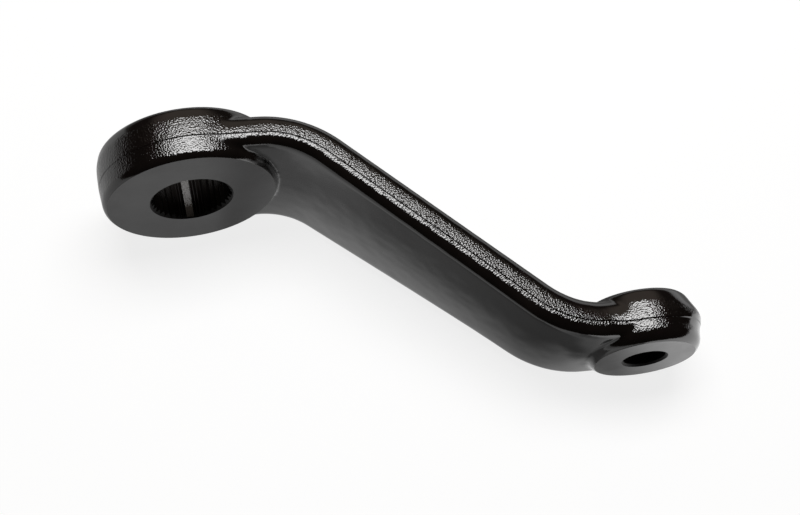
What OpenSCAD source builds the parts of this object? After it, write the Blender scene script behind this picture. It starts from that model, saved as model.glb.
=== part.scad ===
// Dropped pitman arm: one steel forging with a serrated tapered eye at the
// steering shaft, an S-shaped arm and a plain tapered eye for the ball stud.
// Both bores lie along Y. The nut side of the large eye looks towards -Y and
// the small eye is dropped to that side. The arm lies on the flanks of its eyes.
// Lengths are in millimetres, angles in degrees.

/* [Layout] */
// distance between the two bore axes, measured along the arm
centre_distance = 154; // [150:1:165]
// sideways drop between the middle planes of the two eyes
drop = 87; // [80:1:92]
// slope of the straight middle of the arm
slope_angle = 45.5; // [42:0.5:48]
// where the sloping middle crosses half of the drop, from the large bore axis
slope_mid = 81.5; // [80:0.5:85]
// centre line radius of the bend beside the large eye
bend_r_large = 34.5; // [26:0.5:38]
// centre line radius of the bend beside the small eye
bend_r_small = 34.5; // [28:0.5:40]
// lean of the small eye against the large one, in the plane of the bends
small_eye_lean = 3.5; // [0:0.5:6]

/* [Arm section] */
// inset of the straight flanks from the wall of the large eye, at its bore axis
flank_inset_large = 1; // [0.75:0.25:5]
// inset of the straight flanks from the wall of the small eye, at its bore axis
flank_inset_small = 3.75; // [2:0.25:6]
// arm thickness at the large bore axis
arm_t_large = 12; // [11:0.2:14]
// arm thickness at the small bore axis
arm_t_small = 15; // [12:0.2:17]
// corner radius of the arm section
arm_corner_r = 4.25; // [3:0.25:4.5]
// concave radius of the flanks where they run into the large eye
flare_r_large = 60; // [30:5:80]
// concave radius of the flanks where they run into the small eye
flare_r_small = 30; // [15:1:45]

/* [Forging] */
// draft angle of every forged wall, to both sides of the parting line
draft = 5; // [2:0.5:7]
// width of the upright trimmed land along the parting line of the eyes
trim_land = 2; // [1:0.25:3]

/* [Large eye] */
// outside diameter of the large eye at the parting line
large_eye_d = 67; // [64:0.5:72]
// thickness of the large eye between its machined faces
large_eye_t = 21; // [20:0.5:25]
// rounding between the wall and the flat faces of the large eye
large_rim_r = 1.8; // [1:0.1:3]

/* [Small eye] */
// outside diameter of the small eye at the parting line
small_eye_d = 43.5; // [41:0.5:47]
// thickness of the small eye between its machined faces
small_eye_t = 21; // [20:0.5:25]
// rounding between the wall and the flat faces of the small eye
small_rim_r = 2.8; // [1:0.1:4]

/* [Serrated bore] */
// diameter over the serration grooves at the wide end of the taper
serration_d = 31.75; // [30:0.25:33]
// depth of one serration groove
serration_depth = 0.9; // [0.6:0.05:1.2]
// number of serration pitches around the bore
serration_pitches = 36; // [32:4:44]
// share of a pitch taken by the flat tip of a tooth
tooth_tip_share = 0.3; // [0.3:0.05:0.4]
// share of a pitch taken by the flat bottom of a groove
groove_bottom_share = 0.2; // [0.1:0.05:0.3]
// number of broad master grooves, evenly spaced
master_grooves = 4; // [2:2:4]
// width of a master groove as a share of a pitch
master_groove_share = 1.15; // [1:0.05:1.15]
// taper of the serrated bore, from its axis to its side
serration_taper_angle = 2.4; // [1.8:0.1:2.8]
// width of the lead chamfer left outside the grooves at both mouths
serration_lead = 0.2; // [0.1:0.05:0.6]

/* [Ball stud bore] */
// diameter of the plain tapered bore at its wide mouth
stud_d = 15.8; // [14:0.2:19]
// taper of the plain bore, from its axis to its side
stud_taper_angle = 3.6; // [2.4:0.1:4.8]
// depth of the edge break at both mouths of the plain bore
stud_chamfer = 0.5; // [0.3:0.1:1]

/* [Hidden] */
// facet count of the round surfaces
$fn = 120;
// steps around one corner of the arm section
corner_steps = 5;
// steps around one rim of an eye
rim_steps = 4;
// stations along each bend
bend_steps = 12;
// stations along the straight slope
slope_steps = 4;
// stations inside each flare
flare_steps = 6;
// share of a pitch taken by each side of a master groove
master_side_share = 0.05;
// share of the eyes' land that the arm's land is wide, so that their edges cross
arm_land_share = 0.75;
// amount by which cutting tools run past a face
over = 1;
// depth below the eye walls at which the flanks of the arm run out
bury = 0.5;
// radii of both eyes at the parting line
large_r = large_eye_d / 2;
small_r = small_eye_d / 2;
// radii of the circles that the flared flanks touch inside the eyes
root_large = large_r - bury;
root_small = small_r - bury;
// turn about the bore axis that lets both eyes touch one level floor
rest_angle = asin((large_r - small_r) / centre_distance);
// corner of the first bend
corner_a = slope_mid - drop / 2 / tan(slope_angle);
// corner of the second bend, on the centre line of the small eye
corner_b = (drop - centre_distance * tan(small_eye_lean) + corner_a * tan(slope_angle))
    / (tan(slope_angle) - tan(small_eye_lean));
// lengths from the bend corners to the tangent points
tangent_a = bend_r_large * tan(slope_angle / 2);
tangent_b = bend_r_small * tan((slope_angle - small_eye_lean) / 2);
// half widths of the arm that the straight flanks would have at the bore axes
half_large = large_r - flank_inset_large;
half_small = small_r - flank_inset_small;
// narrowing of the half width along the arm, towards the small eye
narrowing = (half_large - half_small) / centre_distance;
// centre of each flare, from its bore axis: along the arm and across it
flare_a = flare_centre(half_large, -narrowing, root_large, flare_r_large);
flare_b = flare_centre(half_small, narrowing, root_small, flare_r_small);
// distance from each bore axis at which the flare touches its root circle
start_a = flare_a[0] * root_large / (root_large + flare_r_large);
start_b = flare_b[0] * root_small / (root_small + flare_r_small);
// ends of the straight slope
slope_from = [corner_a + tangent_a * cos(slope_angle), -tangent_a * sin(slope_angle)];
slope_to = on_b(corner_b) - tangent_b * [cos(slope_angle), -sin(slope_angle)];
// distance of the second bend's end from the small bore axis
bend_end_b = (centre_distance - corner_b) / cos(small_eye_lean) - tangent_b;
// stations along the arm, each a point and the slope there
path = concat(
    [for (i = [0:flare_steps - 1])
        line_a(start_a + (corner_a - tangent_a - start_a) * i / flare_steps)],
    [for (i = [0:bend_steps]) bend_a(slope_angle * i / bend_steps)],
    [for (i = [1:slope_steps - 1]) slope_line(i / slope_steps)],
    [for (i = [0:bend_steps])
        bend_b(slope_angle - (slope_angle - small_eye_lean) * i / bend_steps)],
    [for (i = [1:flare_steps])
        line_b(bend_end_b + (start_b - bend_end_b) * i / flare_steps)]);

// point on the centre line of the small eye at a given X
function on_b(x) = [x, -drop + (centre_distance - x) * tan(small_eye_lean)];
// station on the level start of the arm
function line_a(x) = [x, 0, 0];
// station on the bend beside the large eye
function bend_a(a) = [
    corner_a - tangent_a + bend_r_large * sin(a),
    -bend_r_large * (1 - cos(a)),
    a];
// station on the straight slope
function slope_line(k) = concat(slope_from + (slope_to - slope_from) * k, [slope_angle]);
// centre of the bend beside the small eye
function bend_centre_b() = slope_to + bend_r_small * [sin(slope_angle), cos(slope_angle)];
// station on the bend beside the small eye
function bend_b(a) = concat(bend_centre_b() - bend_r_small * [sin(a), cos(a)], [a]);
// station on the straight run into the small eye, at a distance from its axis
function line_b(u) = [
    centre_distance - u * cos(small_eye_lean),
    -drop + u * sin(small_eye_lean),
    small_eye_lean];

// distance of a station from the axis of each bore, in plan
function from_a(s) = s[0];
function from_b(s) = (centre_distance - s[0]) / cos(small_eye_lean);
// share of the way from the large eye to the small one
function share(s) = s[0] / centre_distance;
// centre of the flare that touches a straight flank and the root circle of an eye
function flare_centre(half, rise, root, r) =
    let (turn = atan(rise))
    let (across = half * cos(turn) + r)
    let (along = sqrt(pow(root + r, 2) - pow(across, 2)))
    [along * cos(turn) - across * sin(turn), along * sin(turn) + across * cos(turn)];
// half width beside an eye: concave in the flare, then straight
function flank(u, half, rise, centre, r) = u < centre[0] + r * sin(atan(rise))
    ? centre[1] - sqrt(r * r - pow(u - centre[0], 2))
    : half + rise * u;
// half width of the arm at a station
function half_w(s) = max(
    flank(from_a(s), half_large, -narrowing, flare_a, flare_r_large),
    flank(from_b(s), half_small, narrowing, flare_b, flare_r_small));
// half thickness of the arm at a station
function half_t(s) = (arm_t_large + (arm_t_small - arm_t_large) * share(s)) / 2;

// upper half of a forged edge: land, drafted wall and rounded corner
function upper_edge(a, b, r, land, steps) =
    let (c = a - (r + (b - r - land / 2) * sin(draft)) / cos(draft))
    concat([[a, land / 2]],
        [for (i = [0:steps])
            let (g = draft + (90 - draft) * i / steps)
            [c + r * cos(g), b - r + r * sin(g)]]);
// forged edge from the lower face to the upper face
function edge(a, b, r, land, steps) =
    let (u = upper_edge(a, b, r, land, steps))
    let (n = len(u))
    concat([for (i = [n - 1:-1:0]) [u[i][0], -u[i][1]]], u);
// closed section of the arm for a half width and a half thickness, counted round once
function section(a, b) =
    let (e = edge(a, b, arm_corner_r, trim_land * arm_land_share, corner_steps))
    let (n = len(e))
    concat(e, [for (i = [n - 1:-1:0]) [-e[i][0], e[i][1]]]);
// one section placed at its station
function ring(s) = [for (p = section(half_w(s), half_t(s)))
    [s[0] + p[1] * sin(s[2]), s[1] + p[1] * cos(s[2]), p[0]]];

// the S-shaped arm, swept from inside one eye to inside the other
module arm_sweep() {
    rings = [for (s = path) ring(s)];
    n = len(rings[0]);
    m = len(rings);
    points = [for (r = rings) for (p = r) p];
    sides = [for (j = [0:m - 2]) for (i = [0:n - 1])
        let (a = j * n + i, b = j * n + (i + 1) % n)
        for (f = [[a, b, b + n], [a, b + n, a + n]]) f];
    first = [for (i = [n - 1:-1:0]) i];
    last = [for (i = [0:n - 1]) (m - 1) * n + i];
    polyhedron(points = points, faces = concat(sides, [first, last]), convexity = 6);
}

// a forged eye, turned about its bore axis
module eye(r, t, rim) {
    rotate_extrude()
        polygon(concat([[0, -t / 2]], edge(r, t / 2, rim, trim_land, rim_steps), [[0, t / 2]]));
}

// outline of the serrated bore for a given groove radius
module serration_outline(r) {
    pitch = 360 / serration_pitches;
    per_master = serration_pitches / master_grooves;
    tip = r - serration_depth;
    side = (1 - tooth_tip_share - groove_bottom_share) / 2;
    polygon([for (i = [0:serration_pitches - 1])
        let (wide = i % per_master == 0)
        let (half = wide ? master_groove_share / 2 : groove_bottom_share / 2)
        let (foot = wide ? half + master_side_share : half + side)
        for (q = [[tip, -foot], [r, -half], [r, half], [tip, foot]])
            q[0] * [cos((i + q[1]) * pitch), sin((i + q[1]) * pitch)]]);
}

// cutting tool of the serrated tapered bore, narrow mouth at the low end
module serrated_bore(t) {
    taper = tan(serration_taper_angle);
    wide_r = serration_d / 2;
    narrow_r = wide_r - t * taper;
    from_r = narrow_r - over * taper;
    to_r = wide_r + over * taper;
    translate([0, 0, -t / 2 - over])
        linear_extrude(height = t + 2 * over, scale = to_r / from_r)
            serration_outline(from_r);
    for (q = [[-1, narrow_r], [1, wide_r]])
        mouth(q[0], t, q[1] - serration_depth, serration_depth + serration_lead);
}

// chamfer cutter at one mouth of a bore
module mouth(side, t, r, c) {
    scale([1, 1, side])
        translate([0, 0, t / 2 - c])
            cylinder(r1 = r, r2 = r + c + over, h = c + over);
}

// cutting tool of the plain tapered bore, wide mouth at the low end
module stud_bore(t) {
    taper = tan(stud_taper_angle);
    wide_r = stud_d / 2;
    narrow_r = wide_r - t * taper;
    slip = over * taper;
    translate([0, 0, -t / 2 - over])
        cylinder(r1 = wide_r + slip, r2 = narrow_r - slip, h = t + 2 * over);
    mouth(-1, t, wide_r, stud_chamfer);
    mouth(1, t, narrow_r, stud_chamfer);
}

// places a shape turned about Z on the large bore axis
module at_large() {
    rotate([-90, 0, 0]) children();
}

// places a shape turned about Z on the small bore axis
module at_small() {
    translate([centre_distance, -drop, 0])
        rotate([0, 0, -small_eye_lean])
            rotate([-90, 0, 0]) children();
}

// the finished forging, lying on the flanks of its eyes
module pitman_arm() {
    color([0.05, 0.05, 0.055])
        rotate([0, rest_angle, 0])
            difference() {
                union() {
                    arm_sweep();
                    at_large() eye(large_r, large_eye_t, large_rim_r);
                    at_small() eye(small_r, small_eye_t, small_rim_r);
                }
                at_large() serrated_bore(large_eye_t);
                at_small() stud_bore(small_eye_t);
            }
}

pitman_arm();
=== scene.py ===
"""Looks of a dropped pitman arm: one black-painted steel forging on a pale studio floor.

The forging is modelled as it is made. Two turned blanks and a swept arm are fused into
one forged skin, the four faces of the eyes are cut flat, and the two tapered bores are
lined. Lengths are in millimetres until the finished mesh is laid into the row frame.
"""
import logging
import math
from dataclasses import dataclass, field
from enum import Enum

import bmesh
import bpy
import numpy as np
from bmesh.types import BMEdge, BMesh, BMFace, BMVert
from bpy.types import NodeSocket, Object
from mathutils import Matrix, Vector


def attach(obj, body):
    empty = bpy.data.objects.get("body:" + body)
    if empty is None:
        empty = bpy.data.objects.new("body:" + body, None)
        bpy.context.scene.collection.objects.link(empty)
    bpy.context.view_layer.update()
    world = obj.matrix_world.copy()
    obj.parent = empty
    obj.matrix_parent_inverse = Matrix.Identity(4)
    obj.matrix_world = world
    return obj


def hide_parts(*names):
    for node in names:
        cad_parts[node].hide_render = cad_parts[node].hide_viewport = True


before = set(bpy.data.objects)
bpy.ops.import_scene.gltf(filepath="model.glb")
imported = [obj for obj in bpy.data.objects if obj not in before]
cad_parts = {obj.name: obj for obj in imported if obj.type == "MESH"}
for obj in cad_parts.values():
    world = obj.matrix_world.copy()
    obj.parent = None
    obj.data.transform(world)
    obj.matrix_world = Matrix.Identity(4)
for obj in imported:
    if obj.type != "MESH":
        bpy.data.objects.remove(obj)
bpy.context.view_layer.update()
LOG = logging.getLogger("pitman_arm")
MM = 0.001
MID_OFFSET = "mid_offset"
PEBBLE = "pebble"
CLOSE = 1e-5
Triple = tuple[float, float, float]
Colour = tuple[float, float, float, float]
WALL_HEIGHTS = (*np.linspace(-4.5, 1.0, 12), 2.0, 3.0, 4.0, 5.0)


def smooth_step(share: np.ndarray) -> np.ndarray:
    """Eases a share from 0 to 1 at both ends."""
    share = np.clip(share, 0.0, 1.0)
    return share ** 2 * (3.0 - 2.0 * share)


def only(geom: list, kind: type) -> list:
    """Picks the elements of one kind from what an operator made."""
    return [g for g in geom if isinstance(g, kind)]


def show(name: str, data: bpy.types.ID) -> Object:
    """Puts new data into the scene as an object."""
    obj = bpy.data.objects.new(name, data)
    bpy.context.scene.collection.objects.link(obj)
    return obj


def to_mesh(name: str, bm: BMesh) -> bpy.types.Mesh:
    """Turns a finished edit mesh into mesh data, and frees it."""
    mesh = bpy.data.meshes.new(name)
    bm.to_mesh(mesh)
    bm.free()
    return mesh


def widen(v: BMVert, r: float, y: float) -> None:
    """Moves a vertex of a bore to a radius and a height."""
    share = r / math.hypot(v.co.x, v.co.z)
    v.co = Vector((v.co.x * share, y, v.co.z * share))


def stand(at: Vector, right: Vector, up: Vector) -> Matrix:
    """Matrix of something that stands at a point, with its own right and up."""
    return Matrix.Translation(at) @ Matrix((right, up, right.cross(up))).transposed().to_4x4()


class Surface(Enum):
    """The kinds of surface on the forging, by material slot."""

    FORGED = 0
    MACHINED = 1
    BORE = 2
    MASTER = 3


class Side(Enum):
    """The two faces of an eye, along its bore axis."""

    NUT = -1
    SHAFT = 1


@dataclass
class ArmPath:
    """Centre line of the S-shaped arm, in the plane of its bends."""

    centre_distance: float = 154.6
    drop: float = 87.0
    slope: float = math.radians(45.5)
    slope_mid: float = 82.1
    bend_r_large: float = 34.5
    bend_r_small: float = 34.5
    lean: float = math.radians(3.5)

    @property
    def corner_a(self) -> float:
        """X of the corner of the bend beside the large eye."""
        return self.slope_mid - self.drop / 2 / math.tan(self.slope)

    @property
    def corner_b(self) -> float:
        """X of the corner of the bend beside the small eye."""
        rise = self.drop - self.centre_distance * math.tan(self.lean)
        return (rise + self.corner_a * math.tan(self.slope)) / (
            math.tan(self.slope) - math.tan(self.lean))

    @property
    def tangent_a(self) -> float:
        """Length from the first corner to its tangent points."""
        return self.bend_r_large * math.tan(self.slope / 2)

    @property
    def tangent_b(self) -> float:
        """Length from the second corner to its tangent points."""
        return self.bend_r_small * math.tan((self.slope - self.lean) / 2)

    @property
    def bend_a_from(self) -> Vector:
        """Start of the first bend."""
        return Vector((self.corner_a - self.tangent_a, 0.0, 0.0))

    @property
    def bend_a_centre(self) -> Vector:
        """Centre of the first bend."""
        return self.bend_a_from - Vector((0.0, self.bend_r_large, 0.0))

    @property
    def slope_dir(self) -> Vector:
        """Direction of the straight slope."""
        return Vector((math.cos(self.slope), -math.sin(self.slope), 0.0))

    @property
    def slope_from(self) -> Vector:
        """Start of the straight slope."""
        return Vector((self.corner_a, 0.0, 0.0)) + self.slope_dir * self.tangent_a

    @property
    def slope_to(self) -> Vector:
        """End of the straight slope."""
        on_b = -self.drop + (self.centre_distance - self.corner_b) * math.tan(self.lean)
        return Vector((self.corner_b, on_b, 0.0)) - self.slope_dir * self.tangent_b

    @property
    def bend_b_centre(self) -> Vector:
        """Centre of the second bend."""
        return self.slope_to + self.bend_r_small * Vector(
            (math.sin(self.slope), math.cos(self.slope), 0.0))

    @property
    def run_b(self) -> float:
        """Length of the straight run from the second bend to the small bore axis."""
        return (self.centre_distance - self.corner_b) / math.cos(self.lean) - self.tangent_b

    def locate(self, points: np.ndarray) -> tuple[np.ndarray, np.ndarray]:
        """Places points on the centre line.

        Args:
            points: one row of X, Y, Z for each point, in millimetres.

        Returns:
            The X of each point's nearest station, and its offset across the thickness.
        """
        x, y, slack = points[:, 0], points[:, 1], 1e-3
        best_x = np.minimum(x, self.bend_a_from.x)
        best_o = np.where(x <= self.bend_a_from.x + slack, y, 1e6)
        ca, cb = self.bend_a_centre, self.bend_b_centre
        turn = np.arctan2(x - ca.x, y - ca.y)
        tries = [((turn >= 0) & (turn <= self.slope + slack), ca.x + self.bend_r_large * np.sin(turn),
                  np.hypot(x - ca.x, y - ca.y) - self.bend_r_large)]
        d, s0 = self.slope_dir, self.slope_from
        along = (x - s0.x) * d.x + (y - s0.y) * d.y
        across = (x - s0.x) * math.sin(self.slope) + (y - s0.y) * math.cos(self.slope)
        length = (self.slope_to - s0).length
        tries.append(((along >= -slack) & (along <= length + slack), s0.x + along * d.x, across))
        turn = np.arctan2(cb.x - x, cb.y - y)
        tries.append(((turn >= self.lean - slack) & (turn <= self.slope + slack),
                      cb.x - self.bend_r_small * np.sin(turn),
                      self.bend_r_small - np.hypot(x - cb.x, y - cb.y)))
        out = (self.centre_distance - x) * math.cos(self.lean) - (-self.drop - y) * math.sin(self.lean)
        flat = (x - self.centre_distance) * math.sin(self.lean) + (y + self.drop) * math.cos(self.lean)
        tries.append((out <= self.run_b + slack, self.centre_distance - out * math.cos(self.lean), flat))
        for valid, station, offset in tries:
            nearer = valid & (np.abs(offset) < np.abs(best_o))
            best_x = np.where(nearer, station, best_x)
            best_o = np.where(nearer, offset, best_o)
        return best_x, best_o

    def level(self, station: np.ndarray) -> np.ndarray:
        """Y of the centre line at each station.

        Args:
            station: X of each station.

        Returns:
            Y of the centre line there.
        """
        ca, cb, s0, s1 = self.bend_a_centre, self.bend_b_centre, self.slope_from, self.slope_to
        end = self.centre_distance - self.run_b * math.cos(self.lean)
        first = ca.y + np.sqrt(np.maximum(self.bend_r_large ** 2 - (station - ca.x) ** 2, 0.0))
        second = cb.y - np.sqrt(np.maximum(self.bend_r_small ** 2 - (station - cb.x) ** 2, 0.0))
        return np.select([station <= ca.x, station <= s0.x, station <= s1.x, station <= end],
                         [0.0 * station, first, s0.y - (station - s0.x) * math.tan(self.slope), second],
                         (self.centre_distance - station) * math.tan(self.lean) - self.drop)


@dataclass
class Eye:
    """One forged eye: its blank, its machined faces and its place on the arm."""

    name: str
    radius: float
    near_draft: float
    far_crown: float
    far_power: float
    near_rim: float
    far_rim: float
    centre: Vector
    lean: float = 0.0
    tip: float = 0.0
    flash: float = 0.0
    flash_height: float = 1.2
    flash_spread: float = 4.2
    flash_from: float = 0.3
    flash_rise: float = 0.4
    wall_share: float = 0.9
    cut_reach: float = 0.6
    cut_depth: float = 1.6
    thickness: float = 21.0
    parting: float = -2.0
    allowance: float = 0.7
    steps: int = 144

    @property
    def place(self) -> Matrix:
        """Matrix that carries the eye from the origin to its bore axis."""
        return (Matrix.Translation(self.centre) @ Matrix.Rotation(-self.lean, 4, "Z")
                @ Matrix.Rotation(self.tip, 4, "X"))

    def normal(self, side: Side) -> Vector:
        """Direction that one face looks in."""
        return self.place.to_3x3() @ Vector((0.0, side.value, 0.0))

    def add_blank(self, bm: BMesh) -> None:
        """Turns the forged blank, with an allowance on both faces.

        Args:
            bm: mesh that takes the closed blank.
        """
        old = set(bm.verts)
        half = self.thickness / 2 + self.allowance
        heights = [-half, -half / 2, *WALL_HEIGHTS, half * 0.55, half]
        verts = [bm.verts.new((0.0, -half, 0.0))]
        verts += [bm.verts.new((self.wall_r(y), y, 0.0)) for y in heights]
        verts.append(bm.verts.new((0.0, half, 0.0)))
        wire = {bm.edges.new(pair) for pair in zip(verts, verts[1:])}
        for corner, rim in ((verts[1], self.near_rim), (verts[-2], self.far_rim)):
            rounded = bmesh.ops.bevel(bm, geom=[corner], offset=rim, segments=6, profile=0.5,
                                      affect="VERTICES", material=-1)
            wire = {e for e in wire if e.is_valid} | set(rounded["edges"])
            wire |= {e for v in rounded["verts"] for e in v.link_edges}
        corners = {v for e in wire for v in e.verts}
        bmesh.ops.spin(bm, geom=list(corners) + list(wire), cent=(0.0, 0.0, 0.0),
                       axis=(0.0, 1.0, 0.0), angle=2 * math.pi, steps=self.steps, use_merge=True)
        new = [v for v in bm.verts if v not in old]
        self.leave_flash(new)
        bmesh.ops.transform(bm, matrix=self.place, verts=new)

    def wall_r(self, y: float) -> float:
        """Radius of the forged wall at a height along the bore: drafted near, crowned beyond."""
        far = self.thickness / 2 + self.allowance - self.parting
        rise = y - self.parting
        if rise < 0.0:
            return self.radius + rise * math.tan(self.near_draft)
        return self.radius - self.far_crown * (rise / far) ** self.far_power

    def leave_flash(self, verts: list[BMVert]) -> None:
        """Leaves a low ridge of trimmed flash on the parting line, at the outer end of the eye.

        Args:
            verts: vertices of the turned blank.
        """
        for v in verts:
            r = math.hypot(v.co.x, v.co.z)
            if self.flash > 0.0 and r > self.radius * self.wall_share:
                outer = min(max((v.co.x / r - self.flash_from) / self.flash_rise, 0.0), 1.0)
                ridge = math.exp(-((v.co.y - self.flash_height) / self.flash_spread) ** 2)
                grow = 1.0 + self.flash * outer / r * ridge
                v.co.x, v.co.z = v.co.x * grow, v.co.z * grow

    def local(self, points: np.ndarray) -> tuple[np.ndarray, np.ndarray]:
        """Distance from the bore axis and height along it.

        Args:
            points: one row of X, Y, Z for each point.

        Returns:
            Radius and axial height of each point, from the middle of the eye.
        """
        back = np.array(self.place.inverted())
        p = points @ back[:3, :3].T + back[:3, 3]
        return np.hypot(p[:, 0], p[:, 2]), p[:, 1]

    def cut_face(self, bm: BMesh, side: Side) -> list[BMEdge]:
        """Machines one face flat and leaves it open.

        Args:
            bm: the fused forging.
            side: which face is cut.

        Returns:
            The edges of the open rim.
        """
        back = self.place.inverted()
        reach, depth = self.radius + self.cut_reach, self.thickness / 2 - self.cut_depth
        inside = set()
        for v in bm.verts:
            p = back @ v.co
            if math.hypot(p.x, p.z) < reach and p.y * side.value > depth:
                inside.add(v)
        faces = {f for v in inside for f in v.link_faces if all(w in inside for w in f.verts)}
        geom = faces | {e for f in faces for e in f.edges} | {v for f in faces for v in f.verts}
        normal = self.normal(side)
        point = self.centre + normal * (self.thickness / 2)
        cut = bmesh.ops.bisect_plane(bm, geom=list(geom), dist=CLOSE, plane_co=point,
                                     plane_no=normal, clear_outer=True)
        return [e for e in only(cut["geom_cut"], BMEdge) if e.is_valid]


@dataclass
class SweptArm:
    """The S-shaped arm between the eyes."""

    path: ArmPath
    large: Eye
    small: Eye
    w_large: float = 65.0
    w_small: float = 36.0
    t_large: float = 12.6
    t_small: float = 15.3
    face_crown: float = 0.6
    face_cuts: int = 14
    near_draft: float = math.radians(5.0)
    far_draft: float = math.radians(7.0)
    far_round: float = 3.4
    near_lean: float = 0.85
    middle_from: float = 30.0
    middle_rise: float = 70.0
    middle_to: float = 134.0
    middle_fall: float = 34.0
    root_fall: float = 0.13
    root_from: float = 120.0
    root_rise: float = 16.0
    core_share: float = 0.5
    near_corners: tuple[float, float] = (3.7, 4.2)
    far_corners: tuple[float, float] = (5.4, 4.4)
    parting: float = -2.0
    parting_round: float = 0.7
    flare_r_large: float = 34.0
    flare_r_small: float = 30.0
    bury: float = 0.15
    reach: float = 0.2
    bend_steps: int = 24
    slope_steps: int = 40
    run_steps: int = 10

    def flank(self, u: np.ndarray, eye: Eye, half: float, slope: float, r: float) -> np.ndarray:
        """Half width beside an eye: a straight flank that flares into the wall of the eye.

        Args:
            u: distance of each station from the bore axis.
            eye: the eye that the flank runs into.
            half: half width of the straight flank at the bore axis.
            slope: growth of the half width away from the eye.
            r: radius of the concave flare, which touches both the flank and the wall.

        Returns:
            Half width at each station.
        """
        root, turn = eye.radius - self.bury, math.atan(slope)
        across = half * math.cos(turn) + r
        along = math.sqrt((root + r) ** 2 - across ** 2)
        x = along * math.cos(turn) - across * math.sin(turn)
        z = along * math.sin(turn) + across * math.cos(turn)
        touch, leave = x * root / (root + r), x + r * math.sin(turn)
        flared = z - np.sqrt(r * r - (np.clip(u, touch, leave) - x) ** 2)
        return np.where(u < leave, flared, half + slope * u)

    def half_width(self, station: np.ndarray) -> np.ndarray:
        """Half width of the arm at each station.

        Args:
            station: X of each station on the centre line.

        Returns:
            Half width at each station.
        """
        a, b = self.w_large / 2, self.w_small / 2
        length, slope = self.path.centre_distance, (b - a) / self.path.centre_distance
        return np.maximum(self.flank(station, self.large, a, slope, self.flare_r_large),
                          self.flank(length - station, self.small, b, -slope, self.flare_r_small))

    def add_section(self, bm: BMesh) -> list[BMEdge]:
        """Draws the rounded, drafted section at the start of the arm.

        Args:
            bm: mesh that takes the section.

        Returns:
            The edges of the closed section.
        """
        half_t, half_w = self.t_large / 2, self.w_small / 2
        near = half_w - math.tan(self.near_draft) * (half_t + self.parting)
        fall = math.tan(self.far_draft)
        rises = [self.far_round * k for k in (1.0, 0.75, 0.5, 0.25)]
        curve = [(self.parting + u, half_w - fall * u * u / (2 * self.far_round)) for u in rises]
        far = half_w - fall * (half_t - self.parting - self.far_round / 2)
        start = self.large.radius * self.reach
        upper = [(half_t, far), *curve, (self.parting, half_w), (-half_t, near)]
        outline = upper + [(y, -z) for y, z in reversed(upper)]
        verts = [bm.verts.new((start, y, z)) for y, z in outline]
        bm.faces.new(verts)
        rounds = ((verts[0], self.far_corners[0], self.far_draft),
                  (verts[len(upper) - 1], self.near_corners[0], self.near_draft),
                  (verts[len(upper)], self.near_corners[1], self.near_draft),
                  (verts[-1], self.far_corners[1], self.far_draft))
        for corner, r, draft in rounds:
            bmesh.ops.bevel(bm, geom=[corner], offset=r * math.tan(math.pi / 4 - draft / 2), segments=8,
                            profile=0.5, affect="VERTICES", material=-1)
        ridges = [v for v in bm.verts
                  if abs(v.co.y - self.parting) < CLOSE and abs(abs(v.co.z) - half_w) < CLOSE]
        bmesh.ops.bevel(bm, geom=ridges, offset=self.parting_round, segments=6, profile=0.5,
                        affect="VERTICES", material=-1)
        bmesh.ops.delete(bm, geom=list(bm.faces), context="FACES_ONLY")
        wide = [e for e in bm.edges if all(abs(abs(v.co.y) - half_t) < CLOSE for v in e.verts)
                and e.calc_length() > half_w]
        bmesh.ops.subdivide_edges(bm, edges=wide, cuts=self.face_cuts)
        return list(bm.edges)

    def push(self, bm: BMesh, edges: list[BMEdge], step: Vector,
             count: int) -> list[BMEdge]:
        """Extrudes a section along a straight run.

        Args:
            bm: the arm's mesh.
            edges: edges of the last section.
            step: the whole run.
            count: number of stations in the run.

        Returns:
            The edges of the new last section.
        """
        for _ in range(count):
            made = bmesh.ops.extrude_edge_only(bm, edges=edges)["geom"]
            edges = only(made, BMEdge)
            bmesh.ops.translate(bm, vec=step / count, verts=only(made, BMVert))
        return edges

    def turn(self, bm: BMesh, edges: list[BMEdge], centre: Vector,
             angle: float) -> list[BMEdge]:
        """Spins a section around a bend.

        Args:
            bm: the arm's mesh.
            edges: edges of the last section.
            centre: centre of the bend.
            angle: angle of the bend about Z.

        Returns:
            The edges of the new last section.
        """
        geom = list({v for e in edges for v in e.verts}) + edges
        spun = bmesh.ops.spin(bm, geom=geom, cent=centre, axis=(0.0, 0.0, 1.0), angle=angle,
                              steps=self.bend_steps)
        return only(spun["geom_last"], BMEdge)

    def add_blank(self, bm: BMesh) -> None:
        """Sweeps the section along the centre line and closes both ends.

        Args:
            bm: mesh that takes the closed arm.
        """
        path = self.path
        first = self.add_section(bm)
        start = next(iter(first)).verts[0].co.x
        edges = self.push(bm, first, Vector((path.bend_a_from.x - start, 0.0, 0.0)), self.run_steps)
        edges = self.turn(bm, edges, path.bend_a_centre, -path.slope)
        edges = self.push(bm, edges, path.slope_to - path.slope_from, self.slope_steps)
        edges = self.turn(bm, edges, path.bend_b_centre, path.slope - path.lean)
        run = path.run_b - self.small.radius * self.reach
        last = self.push(bm, edges, run * Vector((math.cos(path.lean), -math.sin(path.lean), 0.0)),
                         self.run_steps)
        bmesh.ops.edgeloop_fill(bm, edges=first)
        bmesh.ops.edgeloop_fill(bm, edges=last)
        self.shape(bm)

    def middle(self, station: np.ndarray) -> np.ndarray:
        """Share of each station in the middle of the slope: 1 there, 0 towards the eyes."""
        first = smooth_step((station - self.middle_from) / self.middle_rise)
        return first * smooth_step((self.middle_to - station) / self.middle_fall)

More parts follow.
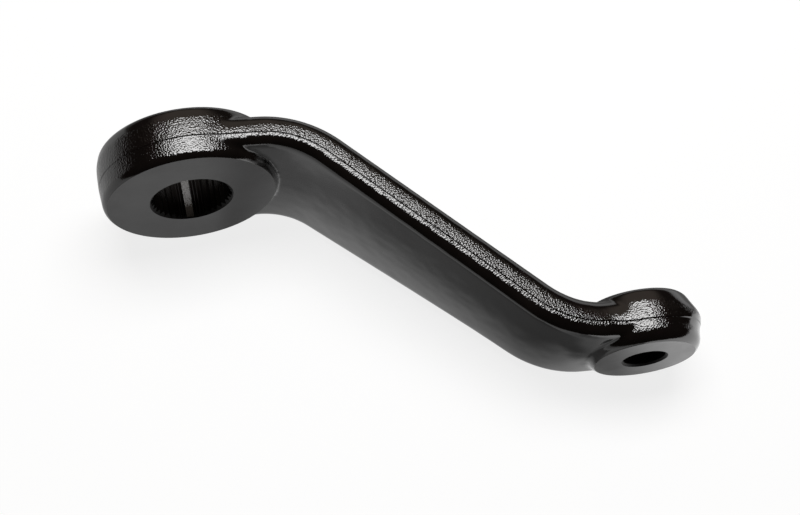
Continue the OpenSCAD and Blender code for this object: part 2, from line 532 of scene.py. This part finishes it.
    def shape(self, bm: BMesh) -> None:
        """Gives the plain sweep its width, its thickness and its crowned wide faces.

        Args:
            bm: the plain sweep.
        """
        path, plain = self.path, self.w_small / 2
        points = np.array([v.co for v in bm.verts])
        station, offset = path.locate(points)
        half = self.half_width(station)
        thicken = 1.0 + (self.t_small / self.t_large - 1.0) * station / path.centre_distance
        z, inner = points[:, 2], plain * self.core_share
        spread = np.where(np.abs(z) < inner, z * (1.0 + (half - plain) / inner),
                          z + np.copysign(half - plain, z))
        near_small = np.clip((station - self.root_from) / self.root_rise, 0.0, 1.0)
        fall = self.root_fall * near_small * np.maximum(offset - self.parting, 0.0)
        spread = np.where(np.abs(z) < inner, spread, spread - np.copysign(fall, z))
        edge = np.clip(np.abs(offset) / (self.t_large / 2), 0.0, 1.0) ** 2
        rise = self.face_crown * edge * (1.0 - np.clip(np.abs(spread) / half, 0.0, 1.0) ** 2)
        rise -= np.where(offset < 0.0, self.near_lean, 0.0) * edge * self.middle(station) * (
            np.clip(0.5 - spread / half / 2, 0.0, 1.0))
        factor = thicken + rise / np.maximum(np.abs(offset), 1e-3)
        for v, x, y, k, height in zip(bm.verts, station, path.level(station), factor, spread):
            v.co = Vector((x + (v.co.x - x) * k, y + (v.co.y - y) * k, height))


@dataclass
class SerratedBore:
    """Tapered bore with straight-sided serrations and broad master grooves."""

    eye: Eye
    wide_d: float = 31.75
    depth: float = 0.9
    pitches: int = 36
    tooth_tip: float = 0.16
    groove_bottom: float = 0.1
    masters: int = 4
    master_width: float = 1.15
    master_side: float = 0.05
    taper: float = math.radians(2.4)
    lead: float = 0.5
    mouth_share: float = 0.94
    levels: int = 6

    def groove_r(self, y: float) -> float:
        """Radius over the grooves at a height along the bore."""
        return self.wide_d / 2 - (self.eye.thickness / 2 - y) * math.tan(self.taper)

    def surface(self, face: BMFace) -> Surface:
        """Kind of surface of one face of the liner: the broad master grooves are the smoothest."""
        spot = self.eye.place.inverted() @ face.calc_center_median()
        turn = math.atan2(spot.z, spot.x) / (2 * math.pi) * self.masters
        off = abs(turn - round(turn)) * self.pitches / self.masters
        deep = math.hypot(spot.x, spot.z) > self.groove_r(spot.y) - self.depth / 4
        inner = abs(spot.y) < self.eye.thickness / 2 - self.depth - self.lead
        return Surface.MASTER if deep and inner and off < self.master_width / 2 else Surface.BORE

    def add_teeth(self, bm: BMesh, y: float) -> list[BMEdge]:
        """Draws the closed outline of the serrations at one height.

        Args:
            bm: mesh that takes the outline.
            y: height along the bore.

        Returns:
            The edges of the closed outline.
        """
        r, pitch = self.groove_r(y), 2 * math.pi / self.pitches
        side = (1 - self.tooth_tip - self.groove_bottom) / 2
        per_master = self.pitches // self.masters
        marks = []
        for i in range(self.pitches):
            wide = i % per_master == 0
            half = self.master_width / 2 if wide else self.groove_bottom / 2
            foot = half + (self.master_side if wide else side)
            marks += [(r - self.depth, i - foot), (r, i - half), (r, i + half),
                      (r - self.depth, i + foot)]
        verts = []
        for (radius, turn), (_, last) in zip(marks, marks[-1:] + marks):
            if 1e-6 < (turn - last) % self.pitches < self.pitches - 1e-6:
                a = turn * pitch
                verts.append(bm.verts.new((radius * math.cos(a), y, radius * math.sin(a))))
        return [bm.edges.new(pair) for pair in zip(verts, verts[1:] + verts[:1])]

    def add_mouth(self, bm: BMesh, edges: list[BMEdge],
                  side: Side) -> list[BMEdge]:
        """Cuts the lead chamfer at one mouth.

        Args:
            bm: the liner's mesh.
            edges: the last outline before the mouth.
            side: which mouth is cut.

        Returns:
            The edges of the round rim on the machined face.
        """
        face = side.value * self.eye.thickness / 2
        outer = self.groove_r(face) + self.lead
        for v in {v for e in edges for v in e.verts}:
            grow = (self.groove_r(face) - self.groove_r(v.co.y)) * self.mouth_share
            r = math.hypot(v.co.x, v.co.z) + grow
            widen(v, r, face - side.value * (outer - r))
        made = bmesh.ops.extrude_edge_only(bm, edges=edges)["geom"]
        for v in only(made, BMVert):
            widen(v, outer, face)
        return only(made, BMEdge)

    def line(self, bm: BMesh) -> dict[Side, list[BMEdge]]:
        """Lines the bore from the nut side to the shaft side.

        Args:
            bm: the forging, with both faces of the eye cut open.

        Returns:
            The round rim of the bore on each face.
        """
        old = set(bm.verts)
        half, chamfer = self.eye.thickness / 2, self.depth + self.lead
        low, high = -half + chamfer, half - chamfer
        first = edges = self.add_teeth(bm, low)
        for _ in range(self.levels):
            made = bmesh.ops.extrude_edge_only(bm, edges=edges)["geom"]
            edges = only(made, BMEdge)
            for v in only(made, BMVert):
                y = v.co.y + (high - low) / self.levels
                grow = self.groove_r(y) - self.groove_r(v.co.y)
                widen(v, math.hypot(v.co.x, v.co.z) + grow, y)
        rims = {Side.NUT: self.add_mouth(bm, first, Side.NUT),
                Side.SHAFT: self.add_mouth(bm, edges, Side.SHAFT)}
        new = [v for v in bm.verts if v not in old]
        bmesh.ops.transform(bm, matrix=self.eye.place, verts=new)
        return rims


@dataclass
class StudBore:
    """Plain tapered bore for the ball stud."""

    eye: Eye
    wide_d: float = 15.8
    taper: float = math.radians(3.6)
    chamfer: float = 0.8
    steps: int = 96

    def surface(self, face: BMFace) -> Surface:
        """Kind of surface of one face of the liner."""
        return Surface.BORE

    def line(self, bm: BMesh) -> dict[Side, list[BMEdge]]:
        """Lines the bore from the nut side to the far side.

        Args:
            bm: the forging, with both faces of the eye cut open.

        Returns:
            The round rim of the bore on each face.
        """
        old = set(bm.verts)
        half = self.eye.thickness / 2
        wide = self.wide_d / 2
        narrow = wide - self.eye.thickness * math.tan(self.taper)
        rings = [(wide + self.chamfer, -half), (wide, -half + self.chamfer), ((wide + narrow) / 2, 0.0),
                 (narrow, half - self.chamfer), (narrow + self.chamfer, half)]
        ring = bmesh.ops.create_circle(bm, segments=self.steps, radius=rings[0][0])["verts"]
        bmesh.ops.rotate(bm, verts=ring, cent=(0.0, 0.0, 0.0),
                         matrix=Matrix.Rotation(math.pi / 2, 3, "X"))
        bmesh.ops.translate(bm, verts=ring, vec=(0.0, rings[0][1], 0.0))
        first = edges = list({e for v in ring for e in v.link_edges})
        for (r0, y0), (r1, y1) in zip(rings, rings[1:]):
            made = bmesh.ops.extrude_edge_only(bm, edges=edges)["geom"]
            edges = only(made, BMEdge)
            verts = only(made, BMVert)
            bmesh.ops.scale(bm, verts=verts, vec=(r1 / r0, 1.0, r1 / r0))
            bmesh.ops.translate(bm, verts=verts, vec=(0.0, y1 - y0, 0.0))
        new = [v for v in bm.verts if v not in old]
        bmesh.ops.transform(bm, matrix=self.eye.place, verts=new)
        return {Side.NUT: first, Side.SHAFT: edges}


@dataclass(frozen=True)
class Ramp:
    """A smooth change from one level to another, over a span."""

    start: float
    end: float
    low: float
    high: float


class NodeTree:
    """Short ways to add and join shader nodes."""

    def __init__(self, owner: bpy.types.ID) -> None:
        """Takes the nodes of a material or world and clears them."""
        owner.use_nodes = True
        self.tree = owner.node_tree
        self.tree.nodes.clear()

    def add(self, kind: str, **values: object) -> bpy.types.Node:
        """Adds a node and sets its options and sockets.

        Args:
            kind: the node's type name.
            values: options by their own name, and sockets by name with spaces as two underscores.

        Returns:
            The new node.
        """
        node = self.tree.nodes.new(kind)
        for name, value in values.items():
            if hasattr(node, name) and not name[0].isupper():
                setattr(node, name, value)
            else:
                node.inputs[name.replace("__", " ")].default_value = value
        return node

    def join(self, out: NodeSocket, into: NodeSocket) -> None:
        """Links an output to an input."""
        self.tree.links.new(out, into)

    def fill(self, sockets: list[NodeSocket], terms: tuple) -> None:
        """Gives each socket an output to follow, or a value of its own."""
        for socket, term in zip(sockets, terms):
            if isinstance(term, NodeSocket):
                self.join(term, socket)
            else:
                socket.default_value = term

    def math(self, operation: str, *terms: NodeSocket | float) -> NodeSocket:
        """Adds a math node.

        Args:
            operation: what it does.
            terms: its terms, each an output or a number.

        Returns:
            Its result.
        """
        node = self.add("ShaderNodeMath", operation=operation)
        self.fill(list(node.inputs), terms)
        return node.outputs[0]

    def ramp(self, value: NodeSocket, span: Ramp) -> NodeSocket:
        """Adds a smooth ramp from one level to another.

        Args:
            value: what the ramp follows.
            span: where it runs, and between which levels.

        Returns:
            The level.
        """
        node = self.add("ShaderNodeMapRange", interpolation_type="SMOOTHSTEP", From__Min=span.start,
                        From__Max=span.end, To__Min=span.low, To__Max=span.high)
        self.join(value, node.inputs["Value"])
        return node.outputs["Result"]

    def blend(self, share: NodeSocket, first: NodeSocket | float,
              second: NodeSocket | float) -> NodeSocket:
        """Blends two levels.

        Args:
            share: share of the second level.
            first: the first level.
            second: the second level.

        Returns:
            The blended level.
        """
        node = self.add("ShaderNodeMix", data_type="FLOAT")
        self.fill([node.inputs["Factor"], node.inputs["A"], node.inputs["B"]], (share, first, second))
        return node.outputs["Result"]

    def along(self, where: NodeSocket, way: Triple) -> NodeSocket:
        """Measures how far a place or direction reaches along a way."""
        node = self.add("ShaderNodeVectorMath", operation="DOT_PRODUCT")
        self.fill([node.inputs[0], node.inputs[1]], (where, way))
        return node.outputs["Value"]


@dataclass(frozen=True)
class BlackPaint:
    """Gloss black paint, with the skin of the metal below it showing through.

    Scales are counts per metre and heights are metres.
    """

    name: str
    colour: Triple = (0.0046, 0.0034, 0.0030)
    colour_spread: float = 0.35
    roughness: tuple[float, float] = (0.06, 0.11)
    specular: float = 1.0
    ior: float = 1.5
    pebble_scale: float = 1600.0
    pebble_height: float = 0.00014
    grain_scale: float = 3200.0
    grain_height: float = 0.000012
    wave_scale: float = 110.0
    wave_height: float = 0.00022
    trim_height: float = 0.0
    trim_half: float = 0.34
    cloud_scale: float = 70.0
    cloud_span: tuple[float, float] = (0.3, 0.7)

    def material(self) -> bpy.types.Material:
        """Builds the procedural material.

        Returns:
            The material, on Object coordinates.
        """
        mat = bpy.data.materials.new(self.name)
        nt = NodeTree(mat)
        out = nt.add("ShaderNodeOutputMaterial")
        paint = nt.add("ShaderNodeBsdfPrincipled", IOR=self.ior, Specular__IOR__Level=self.specular)
        nt.join(paint.outputs["BSDF"], out.inputs["Surface"])
        where = nt.add("ShaderNodeTexCoord").outputs["Object"]
        self.shade(nt, paint, where)
        nt.join(self.relief(nt, where), paint.inputs["Normal"])
        return mat

    def shade(self, nt: NodeTree, paint: bpy.types.Node, where: NodeSocket) -> None:
        """Varies colour and gloss a little over the surface.

        Args:
            nt: the material's nodes.
            paint: the paint shader.
            where: Object coordinates.
        """
        cloud = nt.add("ShaderNodeTexNoise", Scale=self.cloud_scale, Detail=4.0, Roughness=0.6)
        nt.join(where, cloud.inputs["Vector"])
        tone = nt.add("ShaderNodeValToRGB")
        spreads = (1 - self.colour_spread, 1 + self.colour_spread)
        for stop, position, spread in zip(tone.color_ramp.elements, self.cloud_span, spreads):
            stop.position = position
            stop.color = (*(c * spread for c in self.colour), 1.0)
        nt.join(cloud.outputs["Fac"], tone.inputs["Fac"])
        nt.join(tone.outputs["Color"], paint.inputs["Base Color"])
        gloss = nt.add("ShaderNodeMapRange", From__Min=self.cloud_span[0], From__Max=self.cloud_span[1],
                       To__Min=self.roughness[0], To__Max=self.roughness[1])
        nt.join(cloud.outputs["Fac"], gloss.inputs["Value"])
        nt.join(gloss.outputs["Result"], paint.inputs["Roughness"])

    def relief(self, nt: NodeTree, where: NodeSocket) -> NodeSocket:
        """Builds the relief: forging waves, pebbled skin, fine grain and the trimmed flash line.

        Args:
            nt: the material's nodes.
            where: Object coordinates.

        Returns:
            The bumped normal.
        """
        normal = None
        if self.wave_height > 0.0:
            normal = self.bump(nt, self.noise(nt, where, self.wave_scale), self.wave_height, normal)
        normal = self.bump(nt, self.pebbles(nt, where), self.pebble_height, normal)
        normal = self.bump(nt, self.noise(nt, where, self.grain_scale), self.grain_height, normal)
        if self.trim_height > 0.0:
            normal = self.bump(nt, self.trim_line(nt), self.trim_height, normal)
        return normal

    def noise(self, nt: NodeTree, where: NodeSocket, scale: float) -> NodeSocket:
        """Builds a soft random pattern of one scale."""
        node = nt.add("ShaderNodeTexNoise", Scale=scale, Detail=1.0, Roughness=0.5)
        nt.join(where, node.inputs["Vector"])
        return node.outputs["Fac"]

    def trim_line(self, nt: NodeTree) -> NodeSocket:
        """Builds the step that the trimmed flash leaves along the parting line."""
        mid = nt.add("ShaderNodeAttribute", attribute_name=MID_OFFSET)
        return nt.ramp(mid.outputs["Fac"], Ramp(-self.trim_half, self.trim_half, 0.0, 1.0))

    def pebbles(self, nt: NodeTree, where: NodeSocket) -> NodeSocket:
        """Builds the pebbled skin as small round pits, faded by the pebble attribute.

        Args:
            nt: the material's nodes.
            where: Object coordinates.

        Returns:
            The height pattern.
        """
        cells = nt.add("ShaderNodeTexVoronoi", feature="F1", Scale=self.pebble_scale)
        nt.join(where, cells.inputs["Vector"])
        pit = nt.math("POWER", cells.outputs["Distance"], 2.0)
        rough = nt.add("ShaderNodeAttribute", attribute_name=PEBBLE)
        return nt.math("MULTIPLY", pit, rough.outputs["Fac"])

    def bump(self, nt: NodeTree, value: NodeSocket, height: float,
             normal: NodeSocket | None) -> NodeSocket:
        """Adds one layer of relief.

        Args:
            nt: the material's nodes.
            value: the pattern, from 0 to 1.
            height: height of the relief, in metres.
            normal: the normal below this layer, if any.

        Returns:
            The new normal.
        """
        node = nt.add("ShaderNodeBump", Strength=1.0, Distance=height)
        nt.join(value, node.inputs["Height"])
        if normal is not None:
            nt.join(normal, node.inputs["Normal"])
        return node.outputs["Normal"]


@dataclass
class Forging:
    """The whole pitman arm, as one painted piece."""

    path: ArmPath = field(default_factory=ArmPath)
    voxel: float = 0.62
    skin_passes: int = 2
    root_passes: int = 30
    root_depth: float = 4.5
    root_from: float = 0.1
    root_reach: float = 4.0
    eye_blend: float = 4.0
    eye_pebble: float = 0.72
    pebble_reach: float = 14.0
    pebble_end: float = 0.26
    pebble_fade: float = 0.16
    crisp: float = math.radians(25.0)
    large: Eye = field(init=False)
    small: Eye = field(init=False)
    arm: SweptArm = field(init=False)

    def __post_init__(self) -> None:
        """Sets out the eyes and the arm on the path."""
        foot = Vector((self.path.centre_distance, -self.path.drop, 0.0))
        self.large = Eye("large_eye", radius=32.9, near_draft=math.radians(4.0), far_crown=1.5,
                         far_power=4.0, near_rim=3.1, far_rim=2.7, centre=Vector((0.0, 0.0, 0.0)))
        self.small = Eye("small_eye", radius=21.6, near_draft=math.radians(1.5), far_crown=2.6,
                         far_power=2.2, near_rim=5.0, far_rim=2.8, centre=foot, lean=self.path.lean,
                         tip=math.radians(2.6), flash=1.7)
        self.arm = SweptArm(self.path, self.large, self.small)

    @property
    def rest_turn(self) -> float:
        """Turn about the bore axis that lays both eyes on one floor."""
        return math.asin((self.large.radius - self.small.radius) / self.path.centre_distance)

    def fuse(self) -> BMesh:
        """Fuses the arm and both blanks into one forged skin.

        Returns:
            The fused skin, in millimetres.
        """
        bm = bmesh.new()
        self.arm.add_blank(bm)
        self.large.add_blank(bm)
        self.small.add_blank(bm)
        bmesh.ops.remove_doubles(bm, verts=bm.verts, dist=1e-4)
        bmesh.ops.recalc_face_normals(bm, faces=bm.faces)
        mesh = to_mesh("forged_blank", bm)
        blank = show("forged_blank", mesh)
        skin = blank.modifiers.new("skin", "REMESH")
        skin.mode = "VOXEL"
        skin.voxel_size = self.voxel
        graph = bpy.context.evaluated_depsgraph_get()
        fused = bmesh.new()
        fused.from_object(blank, graph)
        bpy.data.objects.remove(blank)
        bpy.data.meshes.remove(mesh)
        return fused

    def soften(self, bm: BMesh) -> None:
        """Smooths the skin a little, and more where the flanks run into the eyes.

        Args:
            bm: the fused skin.
        """
        for _ in range(self.skin_passes):
            self.smooth(bm, list(bm.verts))
        bm.verts.ensure_lookup_table()
        points = np.array([v.co for v in bm.verts])
        roots = np.zeros(len(points), bool)
        for eye, towards in ((self.large, 1.0), (self.small, -1.0)):
            r, height = eye.local(points)
            beside = (points[:, 0] - eye.centre.x) * towards > self.root_from * eye.radius
            close = abs(r - eye.radius) < self.root_reach
            roots |= beside & close & (abs(height) < self.root_depth)
        chosen = [bm.verts[i] for i in np.flatnonzero(roots)]
        for _ in range(self.root_passes):
            self.smooth(bm, chosen)

    def smooth(self, bm: BMesh, verts: list[BMVert]) -> None:
        """Smooths some vertices once."""
        bmesh.ops.smooth_vert(bm, verts=verts, factor=0.5, use_axis_x=True, use_axis_y=True,
                              use_axis_z=True)

    def machine(self, bm: BMesh) -> None:
        """Cuts the faces flat, lines the bores and closes the faces around them.

        Args:
            bm: the fused skin.
        """
        forged = len(bm.faces)
        for eye, bore in ((self.large, SerratedBore(self.large)), (self.small, StudBore(self.small))):
            rims = {side: eye.cut_face(bm, side) for side in Side}
            before = set(bm.faces)
            mouths = bore.line(bm)
            for f in bm.faces:
                if f not in before:
                    f.material_index = bore.surface(f).value
            for side in Side:
                made = bmesh.ops.triangle_fill(bm, use_beauty=True, edges=rims[side] + mouths[side],
                                               normal=eye.normal(side))
                for f in only(made["geom"], BMFace):
                    f.material_index = Surface.MACHINED.value
            LOG.info("%s machined, %d faces so far (%d forged)", eye.name, len(bm.faces), forged)

    def finish_edges(self, bm: BMesh) -> None:
        """Shades the skin smooth and keeps the machined edges crisp.

        Args:
            bm: the machined forging.
        """
        for f in bm.faces:
            f.smooth = True
        for e in bm.edges:
            if len(e.link_faces) == 2:
                a, b = e.link_faces
                if a.material_index != b.material_index:
                    e.smooth = False
                elif a.material_index == Surface.BORE.value:
                    e.smooth = e.calc_face_angle(0.0) < self.crisp

    def build(self) -> Object:
        """Builds the finished forging in the row frame.

        Returns:
            The object, at the origin, with its place in its mesh.
        """
        bm = self.fuse()
        self.soften(bm)
        self.machine(bm)
        bmesh.ops.recalc_face_normals(bm, faces=bm.faces)
        self.finish_edges(bm)
        self.mark(bm)
        lay = Matrix.Rotation(self.rest_turn, 4, "Y") @ Matrix.Scale(MM, 4)
        bmesh.ops.transform(bm, matrix=lay, verts=bm.verts)
        return show("painted_forging", to_mesh("painted_forging", bm))

    def mark(self, bm: BMesh) -> None:
        """Marks each vertex with its offset from the parting line and its share of pebbles.

        Args:
            bm: the machined forging, in millimetres.
        """
        points = np.array([v.co for v in bm.verts])
        _, offset = self.path.locate(points)
        r, height = self.small.local(points)
        own = np.clip((self.small.radius + self.eye_blend - r) / self.eye_blend, 0.0, 1.0)
        offset = offset * (1.0 - own) + height * own - self.arm.parting
        mid, pebble = bm.verts.layers.float.new(MID_OFFSET), bm.verts.layers.float.new(PEBBLE)
        bm.normal_update()
        beside = np.minimum(r - self.small.radius, self.large.local(points)[0] - self.large.radius)
        away = np.clip(beside / self.pebble_reach, 0.0, 1.0)
        calm = self.eye_pebble + (1.0 - self.eye_pebble) * away
        for v, value, share in zip(bm.verts, offset, calm):
            fade = (self.pebble_end - abs(v.normal.y)) / self.pebble_fade
            v[mid], v[pebble] = value, min(max(fade, 0.0), 1.0) * share

    def dress(self, obj: Object) -> None:
        """Paints the forging and ties it to the frame.

        Args:
            obj: the built forging.
        """
        finishes = {
            Surface.FORGED: BlackPaint("forged_black_paint", trim_height=0.00034),
            Surface.MACHINED: BlackPaint("machined_black_paint", roughness=(0.3, 0.4),
                                         pebble_height=0.000006, wave_height=0.00006),
            Surface.BORE: BlackPaint("bore_black_paint", specular=0.15, roughness=(0.38, 0.5),
                                     pebble_height=0.00001, wave_height=0.0),
            Surface.MASTER: BlackPaint("groove_black_paint", specular=0.8, roughness=(0.2, 0.3),
                                       pebble_height=0.00001, wave_height=0.0),
        }
        for surface in Surface:
            obj.data.materials.append(finishes[surface].material())
        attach(obj, "root")
        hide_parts("pitman_arm")


@dataclass(frozen=True)
class PaintedFloorReflection:
    """Painted reflection: a patterned glow of the floor that only glossy rays see, brightest beside the
    arm and by the small eye.

    Places are in metres. Stations run along the slope of the arm, and away is in front of it.
    """

    away_way: Triple = (-0.713, -0.701, 0.0)
    station_way: Triple = (0.701, -0.713, 0.0)
    left: Ramp = Ramp(-0.05, -0.02, 0.34, 0.48)
    right: Ramp = Ramp(0.08, 0.125, 0.0, -0.28)
    by_small_eye: Ramp = Ramp(0.135, 0.18, 0.0, 1.0)
    small_eye_level: float = 1.3
    dark_root: Ramp = Ramp(0.03, 0.07, 0.19, 0.03)
    dark_end: Ramp = Ramp(0.07, 0.15, 0.09, 0.0)
    foot_level: float = 0.85
    foot_turn: float = 0.1
    foot_root: Ramp = Ramp(0.02, 0.065, 0.006, 0.0)
    foot_fade: Ramp = Ramp(-0.016, 0.0125, 0.0, 1.0)
    foot_end: Ramp = Ramp(-0.108, -0.0955, 1.0, 0.0)
    arm_skew: float = -1.5
    arm_from: Ramp = Ramp(0.006, 0.024, 0.0, 1.0)
    arm_to: Ramp = Ramp(0.166, 0.176, 1.0, 0.0)
    behind_arm: Ramp = Ramp(-0.058, -0.040, 0.025, 1.0)
    far_behind: Ramp = Ramp(-0.20, -0.11, 0.4, 0.0)
    behind_eye: Ramp = Ramp(-0.085, -0.06, 1.0, 0.025)

    def level(self, nt: NodeTree) -> NodeSocket:
        """Builds the level of the painted reflection over the floor.

        Args:
            nt: the floor's nodes.

        Returns:
            The level.
        """
        where = nt.add("ShaderNodeTexCoord").outputs["Object"]
        split = nt.add("ShaderNodeSeparateXYZ")
        nt.join(where, split.inputs[0])
        x, y = split.outputs["X"], split.outputs["Y"]
        away, station = nt.along(where, self.away_way), nt.along(where, self.station_way)
        left = nt.math("ADD", nt.ramp(x, self.left), nt.ramp(x, self.right))
        plain = nt.blend(nt.ramp(x, self.by_small_eye), left, self.small_eye_level)
        dark = nt.math("ADD", nt.ramp(station, self.dark_root), nt.ramp(station, self.dark_end))
        root = nt.math("ADD", away, nt.ramp(station, self.foot_root))
        turned = nt.math("MULTIPLY_ADD", station, self.foot_turn, root)
        shade = nt.math("MAXIMUM", nt.ramp(turned, self.foot_fade), nt.ramp(y, self.foot_end))
        front = nt.blend(shade, self.foot_level, dark)
        skew = nt.math("MULTIPLY_ADD", away, self.arm_skew, station)
        beside = nt.math("MULTIPLY", nt.ramp(skew, self.arm_from), nt.ramp(station, self.arm_to))
        far = nt.math("ADD", nt.ramp(away, self.behind_arm), nt.ramp(away, self.far_behind))
        behind = nt.math("MAXIMUM", far, nt.ramp(y, self.behind_eye))
        return nt.math("MULTIPLY", nt.blend(beside, plain, front), behind)


@dataclass
class Studio:
    """Pale floor, soft overhead light and the camera."""

    floor_size: float = 14.0
    floor_colour: Colour = (0.2, 0.2, 0.2, 1.0)
    floor_level: float = 0.82
    # painted reflection: a glow pattern on the floor that the paint mirrors, with painted light and
    # painted shade
    painted_floor_reflection: PaintedFloorReflection = PaintedFloorReflection()
    key_from: Vector = field(default_factory=lambda: Vector((0.07, 0.30, 0.951)))
    key_distance: float = 0.925
    key_size: tuple[float, float] = (0.82, 0.41)
    key_power: float = 9.0
    key_target: Vector = field(default_factory=lambda: Vector((0.075, -0.04, 0.0)))
    horizon: Ramp = Ramp(0.0, 0.14, 0.035, 0.012)
    fill_way: Triple = (0.1, 0.7, 0.7)
    fill: Ramp = Ramp(0.75, 0.95, 0.0, 0.28)
    fill_colour: Colour = (1.0, 0.84, 0.72, 1.0)
    white: Colour = (1.0, 1.0, 1.0, 1.0)
    lens: float = 68.82
    sensor: float = 36.0
    clip: float = 0.01
    camera_at: Vector = field(default_factory=lambda: Vector((-0.01722, -0.26755, 0.50690)))
    camera_right: Vector = field(default_factory=lambda: Vector((0.9751, -0.2071, 0.0792)))
    camera_up: Vector = field(default_factory=lambda: Vector((0.1563, 0.8953, 0.4172)))

    def add_floor(self, height: float) -> Object:
        """Lays the pale floor below the forging, with a painted reflection glow that only glossy rays
        see.

        Args:
            height: Z of the floor.

        Returns:
            The floor.
        """
        bm = bmesh.new()
        bmesh.ops.create_grid(bm, x_segments=1, y_segments=1, size=self.floor_size / 2)
        bmesh.ops.translate(bm, verts=bm.verts, vec=(0.0, 0.0, height))
        floor = show("floor", to_mesh("floor", bm))
        mat = bpy.data.materials.new("pale_floor")
        nt = NodeTree(mat)
        out = nt.add("ShaderNodeOutputMaterial")
        matt = nt.add("ShaderNodeBsdfDiffuse", Color=self.floor_colour)
        glow = nt.add("ShaderNodeEmission", Color=self.white)
        rays = nt.add("ShaderNodeLightPath")
        # painted reflection: glossy rays see a patterned glow, camera rays see an even white floor
        reflection_paint_level = nt.math("MULTIPLY", self.painted_floor_reflection.level(nt), rays.outputs["Is Glossy Ray"])
        lift = nt.math("MULTIPLY_ADD", rays.outputs["Is Camera Ray"], self.floor_level, reflection_paint_level)
        nt.join(lift, glow.inputs["Strength"])
        both = nt.add("ShaderNodeAddShader")
        nt.join(matt.outputs[0], both.inputs[0])
        nt.join(glow.outputs[0], both.inputs[1])
        nt.join(both.outputs[0], out.inputs["Surface"])
        floor.data.materials.append(mat)
        return floor

    def add_world(self) -> None:
        """Sets a dark studio, with a warm glow beyond the forging."""
        world = bpy.data.worlds.new("studio")
        bpy.context.scene.world = world
        nt = NodeTree(world)
        out = nt.add("ShaderNodeOutputWorld")
        sky = nt.add("ShaderNodeBackground")
        way = nt.add("ShaderNodeTexCoord").outputs["Generated"]
        split = nt.add("ShaderNodeSeparateXYZ")
        nt.join(way, split.inputs[0])
        fall = nt.ramp(split.outputs["Z"], self.horizon)
        total = nt.math("ADD", fall, nt.ramp(nt.along(way, self.fill_way), self.fill))
        seen = nt.add("ShaderNodeLightPath").outputs["Is Camera Ray"]
        nt.join(nt.math("MAXIMUM", total, seen), sky.inputs["Strength"])
        tint = nt.add("ShaderNodeMix", data_type="RGBA")
        tint.inputs["A"].default_value = self.fill_colour
        tint.inputs["B"].default_value = self.white
        nt.join(seen, tint.inputs["Factor"])
        nt.join(tint.outputs["Result"], sky.inputs["Color"])
        nt.join(sky.outputs[0], out.inputs["Surface"])

    def add_key(self) -> Object:
        """Hangs the long soft light above and a little beyond the forging, and returns it."""
        data = bpy.data.lights.new("key", "AREA")
        data.shape = "RECTANGLE"
        data.size, data.size_y = self.key_size
        data.energy = self.key_power
        light = show("key", data)
        away = self.key_from.normalized()
        side = Vector((1.0, 0.0, 0.0))
        side = (side - away * side.dot(away)).normalized()
        light.matrix_world = stand(self.key_target + away * self.key_distance, side, away.cross(side))
        return light

    def add_camera(self) -> Object:
        """Sets the camera at the photograph's place and returns it."""
        data = bpy.data.cameras.new("camera")
        data.lens, data.sensor_width, data.clip_start = self.lens, self.sensor, self.clip
        camera = show("camera", data)
        right = self.camera_right.normalized()
        up = (self.camera_up - right * self.camera_up.dot(right)).normalized()
        camera.matrix_world = stand(self.camera_at, right, up)
        bpy.context.scene.camera = camera
        return camera


def main() -> None:
    """Builds the forging and its studio."""
    logging.basicConfig(level=logging.INFO, format="%(name)s: %(message)s")
    forging = Forging()
    piece = forging.build()
    forging.dress(piece)
    LOG.info("%s built, %d faces", piece.name, len(piece.data.polygons))
    studio = Studio()
    floor = studio.add_floor(min(v.co.z for v in piece.data.vertices))
    studio.add_world()
    studio.add_key()
    studio.add_camera()
    LOG.info("%s and studio set", floor.name)
    bpy.context.scene.view_settings.view_transform = "Standard"


if __name__ == "__main__":
    main()
